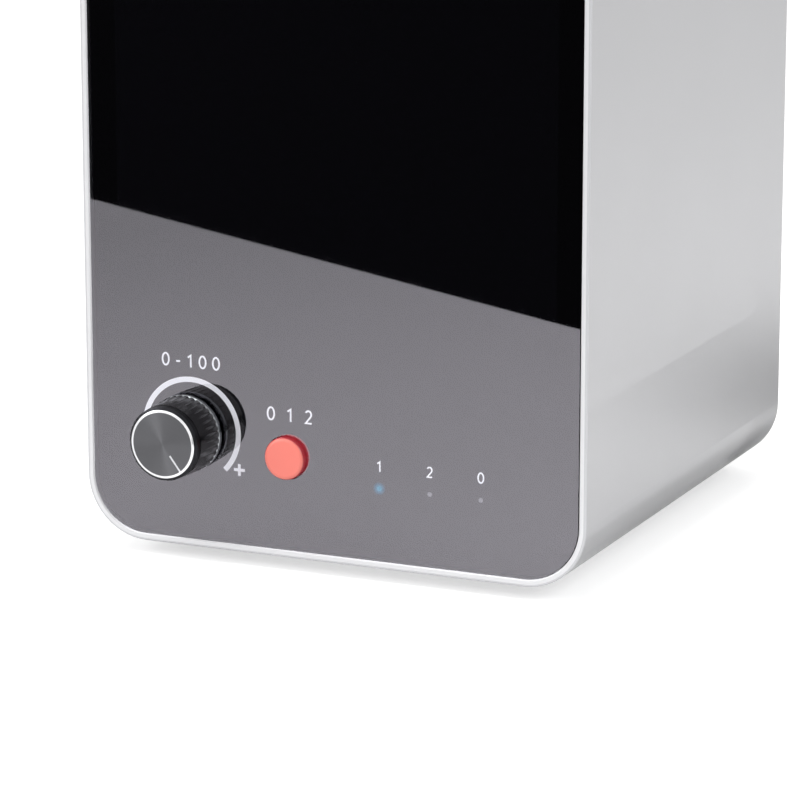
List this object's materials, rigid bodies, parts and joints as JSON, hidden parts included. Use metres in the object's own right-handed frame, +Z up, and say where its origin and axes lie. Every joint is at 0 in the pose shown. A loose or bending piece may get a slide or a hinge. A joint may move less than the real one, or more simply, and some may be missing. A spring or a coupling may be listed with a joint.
{
  "type": "atmospheric plasma generator",
  "caption": "Bench-top box in a rounded aluminium housing with a flush glossy black front panel, a power knob, a push button and indicators; gas outlet and mains entry at the back.",
  "frame": {"origin": "on the bench, under the middle of the whole object's box", "axes": "+X to the right of a user who faces the panel, +Y from the panel to the back, +Z up"},
  "size_m": [0.16, 0.2008, 0.204],
  "materials": {
    "anodised_aluminium": "silver anodised, fine bead-blasted",
    "black_acrylic": "polished acrylic, printed black on its back",
    "foam_tape": "grey-black acrylic foam",
    "sheet_aluminium": "mill finish",
    "zinc_screws": "bright zinc plated",
    "coated_sheet": "fine black powder coat",
    "foot_rubber": "moulded rubber",
    "galvanised_sheet": "electro-galvanised",
    "knob_plastic": "moulded, satin black",
    "spun_aluminium": "face turned, rim diamond cut",
    "turned_brass": "turned",
    "plated_steel": "nickel plated",
    "red_plastic": "moulded, semi-gloss red",
    "black_plastic": "moulded, fine texture",
    "circuit_board": "solder resist on glass fibre",
    "clear_resin": "clear moulded resin",
    "ferrite": "sintered ferrite",
    "copper_winding": "enamelled wire in sections",
    "capacitor_sleeve": "shrunk sleeve",
    "relay_case": "moulded case",
    "white_insulator": "machined fluoropolymer",
    "quartz_glass": "clear drawn tube",
    "stainless_steel": "turned or wound stainless",
    "silicone_hose": "translucent silicone"
  },
  "bodies": {
    "housing": {"housing_shell": "anodised_aluminium", "front_panel": "black_acrylic", "panel_tape": "foam_tape", "front_plate": "sheet_aluminium", "front_plate_screws": "zinc_screws", "rear_panel": "coated_sheet", "rear_panel_screws": "zinc_screws", "feet": "foot_rubber", "foot_screws": "zinc_screws", "tray": "galvanised_sheet", "shelf": "galvanised_sheet", "pot_body": "plated_steel", "pot_washer": "plated_steel", "pot_nut": "plated_steel", "mode_switch": "black_plastic", "front_board": "circuit_board", "front_spacers": "plated_steel", "indicator_lamps": "clear_resin", "light_pipes": "clear_resin", "supply_board": "circuit_board", "driver_board": "circuit_board", "control_board": "circuit_board", "board_spacers": "plated_steel", "board_screws": "zinc_screws", "supply_transformer": "ferrite", "supply_capacitors": "capacitor_sleeve", "supply_heatsink": "sheet_aluminium", "driver_heatsink": "sheet_aluminium", "driver_transistors": "black_plastic", "transformer_core": "ferrite", "transformer_coil": "copper_winding", "control_relays": "relay_case", "cell_blocks": "white_insulator", "glass_tube": "quartz_glass", "inner_electrode": "stainless_steel", "outer_electrode": "stainless_steel", "pump_head": "black_plastic", "pump_motor": "plated_steel", "inlet_hose": "silicone_hose", "outlet_spigot": "stainless_steel", "outlet_nut": "stainless_steel", "outlet_hose": "silicone_hose", "fan_frame": "black_plastic", "fan_guard": "stainless_steel", "fan_screws": "zinc_screws", "power_inlet": "black_plastic", "inlet_pins": "turned_brass", "inlet_screws": "zinc_screws"},
    "knob": {"knob_body": "knob_plastic", "knob_cap": "spun_aluminium", "knob_ring": "spun_aluminium", "knob_insert": "turned_brass", "pot_shaft": "plated_steel"},
    "button": {"mode_button": "red_plastic", "mode_plunger": "black_plastic"},
    "rotor": {"fan_rotor": "black_plastic"},
    "rocker": {"power_rocker": "black_plastic"},
    "drawer": {"fuse_drawer": "black_plastic", "fuse_tube": "quartz_glass", "fuse_caps": "stainless_steel"}
  },
  "joints": [
    {"name": "knob_turn", "type": "hinge", "parent": "housing", "child": "knob", "pos_m": [-0.0461, -0.0835, 0.0389], "axis": [0, 1, 0], "range_deg": [-293, 7]},
    {"name": "mode_press", "type": "slide", "parent": "housing", "child": "button", "axis": [0, 1, 0], "range_m": [0, 0.0015], "stiffness_N_per_m": 1200, "springref_m": -0.0005},
    {"name": "fan_spin", "type": "hinge", "parent": "housing", "child": "rotor", "pos_m": [-0.036, 0.0554, 0.141], "axis": [0, 1, 0], "continuous": true},
    {"name": "power_rock", "type": "hinge", "parent": "housing", "child": "rocker", "pos_m": [0.034, 0.0814, 0.0835], "axis": [0, 0, 1], "range_deg": [-20, 0]},
    {"name": "fuse_drawer_slide", "type": "slide", "parent": "housing", "child": "drawer", "axis": [0, 1, 0], "range_m": [0, 0.018]}
  ]
}
